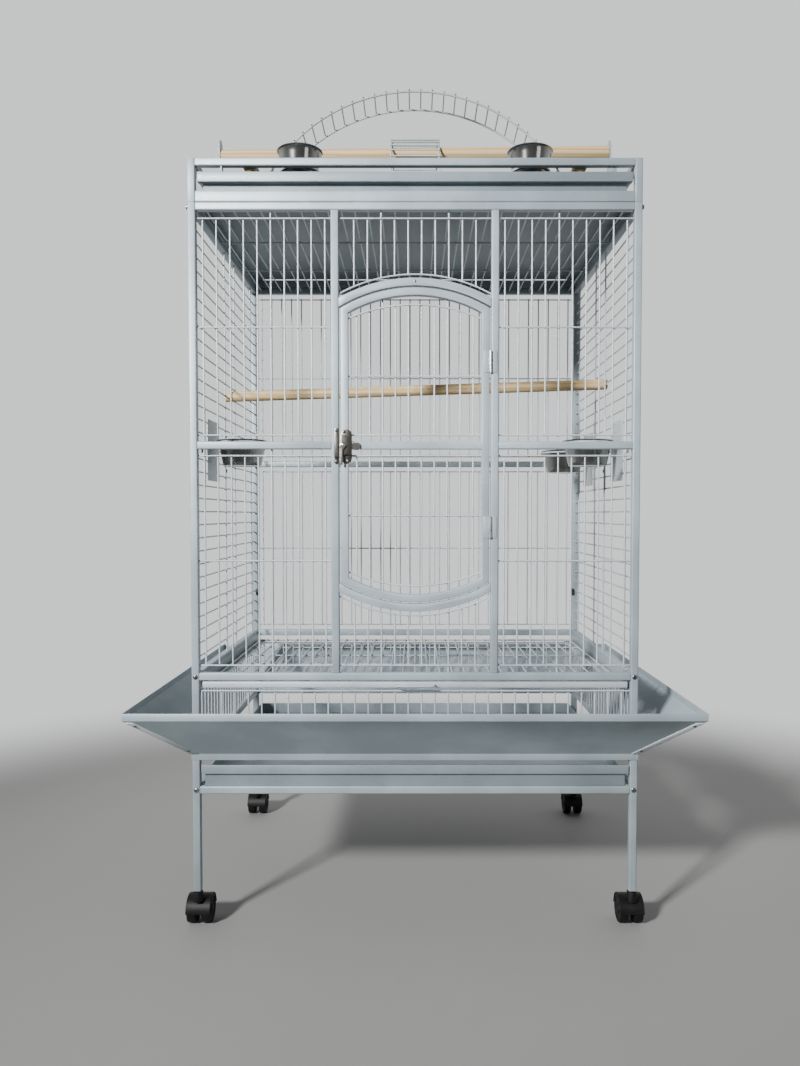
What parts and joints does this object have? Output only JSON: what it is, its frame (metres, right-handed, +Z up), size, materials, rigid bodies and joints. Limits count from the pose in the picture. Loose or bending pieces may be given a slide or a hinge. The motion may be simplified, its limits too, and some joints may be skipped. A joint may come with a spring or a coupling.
{
  "type": "bird cage",
  "caption": "Play-top bird cage on casters with a hinged arched door, swing-out feeders, pull-out grate and trays, flared seed guard, ladders and wooden perches.",
  "frame": {"origin": "on the floor, at the middle of the cage", "axes": "+X to the right seen from the door side, +Y to the back, +Z up"},
  "size_m": [1.003, 0.774, 1.6403],
  "materials": {
    "powder_coat": "light blue-grey powder coat with a fine hammered sparkle",
    "stainless": "bright stainless steel, softly polished",
    "latch_steel": "dull bronze-grey plated steel",
    "lever_chrome": "bright plated",
    "screw_steel": "dull zinc-plated steel",
    "pale_wood": "plain pale softwood dowel, unvarnished",
    "black_plastic": "black moulded plastic",
    "dark_plastic": "dark moulded plastic"
  },
  "bodies": {
    "cage": {"back_fence": "powder_coat", "back_grille": "powder_coat", "back_rails": "powder_coat", "back_uprights": "powder_coat", "big_ladder": "powder_coat", "bowl_rings": "powder_coat", "cage_perch": "pale_wood", "corner_strips": "powder_coat", "cross_perches": "pale_wood", "front_fence": "powder_coat", "front_grille": "powder_coat", "front_rails": "powder_coat", "front_uprights": "powder_coat", "guard_back": "powder_coat", "guard_front": "powder_coat", "guard_left": "powder_coat", "guard_right": "powder_coat", "keeper_tabs": "powder_coat", "ladder_rods": "powder_coat", "left_grille": "powder_coat", "left_side_rails": "powder_coat", "panel_clips": "dark_plastic", "perch_brackets": "powder_coat", "play_perch": "pale_wood", "play_posts": "powder_coat", "play_rails": "powder_coat", "right_grille": "powder_coat", "right_side_rails": "powder_coat", "roof_grille": "powder_coat", "runners": "powder_coat", "screws": "screw_steel", "side_fences": "powder_coat", "small_ladder": "powder_coat", "stile_hinges": "powder_coat", "strike": "latch_steel"},
    "door": {"door_frame": "powder_coat", "door_grille": "powder_coat", "door_hinges": "powder_coat", "latch_body": "latch_steel"},
    "latch_lever": {"latch_lever": "lever_chrome"},
    "feeder_door_left": {"feeder_door_left": "powder_coat"},
    "feeder_door_right_front": {"feeder_door_right_front": "powder_coat"},
    "feeder_door_right_rear": {"feeder_door_right_rear": "powder_coat"},
    "feeder_bowl_left": {"feeder_bowl_left": "stainless"},
    "feeder_bowl_right_front": {"feeder_bowl_right_front": "stainless"},
    "feeder_bowl_right_rear": {"feeder_bowl_right_rear": "stainless"},
    "grate": {"grate": "powder_coat", "grate_handle": "powder_coat"},
    "lower_tray": {"lower_tray": "powder_coat"},
    "roof_tray": {"roof_tray": "powder_coat"},
    "play_bowl_left": {"play_bowl_left": "stainless"},
    "play_bowl_right": {"play_bowl_right": "stainless"},
    "caster_fork_front_left": {"caster_fork_front_left": "black_plastic"},
    "caster_wheels_front_left": {"caster_wheels_front_left": "black_plastic"},
    "caster_fork_front_right": {"caster_fork_front_right": "black_plastic"},
    "caster_wheels_front_right": {"caster_wheels_front_right": "black_plastic"},
    "caster_fork_rear_left": {"caster_fork_rear_left": "black_plastic"},
    "caster_wheels_rear_left": {"caster_wheels_rear_left": "black_plastic"},
    "caster_fork_rear_right": {"caster_fork_rear_right": "black_plastic"},
    "caster_wheels_rear_right": {"caster_wheels_rear_right": "black_plastic"}
  },
  "joints": [
    {"name": "door_swing", "type": "hinge", "parent": "cage", "child": "door", "pos_m": [0.1355, -0.29465, 0.8845], "axis": [0, 0, 1], "range_deg": [0, 160]},
    {"name": "latch_turn", "type": "hinge", "parent": "door", "child": "latch_lever", "pos_m": [-0.1283, -0.2955, 0.884], "axis": [0, -1, 0], "range_deg": [0, 40]},
    {"name": "feeder_left_swing", "type": "hinge", "parent": "cage", "child": "feeder_door_left", "pos_m": [-0.39645, -0.046, 0.88725], "axis": [0, 0, -1], "range_deg": [0, 90]},
    {"name": "feeder_right_front_swing", "type": "hinge", "parent": "cage", "child": "feeder_door_right_front", "pos_m": [0.39645, -0.046, 0.88725], "axis": [0, 0, 1], "range_deg": [0, 90]},
    {"name": "feeder_right_rear_swing", "type": "hinge", "parent": "cage", "child": "feeder_door_right_rear", "pos_m": [0.39645, 0.225, 0.88725], "axis": [0, 0, 1], "range_deg": [0, 90]},
    {"name": "feeder_bowl_left_lift", "type": "slide", "parent": "feeder_door_left", "child": "feeder_bowl_left", "axis": [0, 0, 1], "range_m": [0, 0.07]},
    {"name": "feeder_bowl_right_front_lift", "type": "slide", "parent": "feeder_door_right_front", "child": "feeder_bowl_right_front", "axis": [0, 0, 1], "range_m": [0, 0.07]},
    {"name": "feeder_bowl_right_rear_lift", "type": "slide", "parent": "feeder_door_right_rear", "child": "feeder_bowl_right_rear", "axis": [0, 0, 1], "range_m": [0, 0.07]},
    {"name": "grate_slide", "type": "slide", "parent": "cage", "child": "grate", "axis": [0, -1, 0], "range_m": [0, 0.45]},
    {"name": "lower_tray_slide", "type": "slide", "parent": "cage", "child": "lower_tray", "axis": [0, -1, 0], "range_m": [0, 0.45]},
    {"name": "roof_tray_slide", "type": "slide", "parent": "cage", "child": "roof_tray", "axis": [0, -1, 0], "range_m": [0, 0.45]},
    {"name": "play_bowl_left_lift", "type": "slide", "parent": "cage", "child": "play_bowl_left", "axis": [0, 0, 1], "range_m": [0, 0.1]},
    {"name": "play_bowl_right_lift", "type": "slide", "parent": "cage", "child": "play_bowl_right", "axis": [0, 0, 1], "range_m": [0, 0.1]},
    {"name": "swivel_front_left", "type": "hinge", "parent": "cage", "child": "caster_fork_front_left", "pos_m": [-0.3995, -0.285, 0.08], "axis": [0, 0, 1], "continuous": true},
    {"name": "roll_front_left", "type": "hinge", "parent": "caster_fork_front_left", "child": "caster_wheels_front_left", "pos_m": [-0.3995, -0.265, 0.025], "axis": [1, 0, 0], "continuous": true},
    {"name": "swivel_front_right", "type": "hinge", "parent": "cage", "child": "caster_fork_front_right", "pos_m": [0.3995, -0.285, 0.08], "axis": [0, 0, 1], "continuous": true},
    {"name": "roll_front_right", "type": "hinge", "parent": "caster_fork_front_right", "child": "caster_wheels_front_right", "pos_m": [0.3995, -0.265, 0.025], "axis": [1, 0, 0], "continuous": true},
    {"name": "swivel_rear_left", "type": "hinge", "parent": "cage", "child": "caster_fork_rear_left", "pos_m": [-0.3995, 0.285, 0.08], "axis": [0, 0, 1], "continuous": true},
    {"name": "roll_rear_left", "type": "hinge", "parent": "caster_fork_rear_left", "child": "caster_wheels_rear_left", "pos_m": [-0.3995, 0.305, 0.025], "axis": [1, 0, 0], "continuous": true},
    {"name": "swivel_rear_right", "type": "hinge", "parent": "cage", "child": "caster_fork_rear_right", "pos_m": [0.3995, 0.285, 0.08], "axis": [0, 0, 1], "continuous": true},
    {"name": "roll_rear_right", "type": "hinge", "parent": "caster_fork_rear_right", "child": "caster_wheels_rear_right", "pos_m": [0.3995, 0.305, 0.025], "axis": [1, 0, 0], "continuous": true}
  ]
}
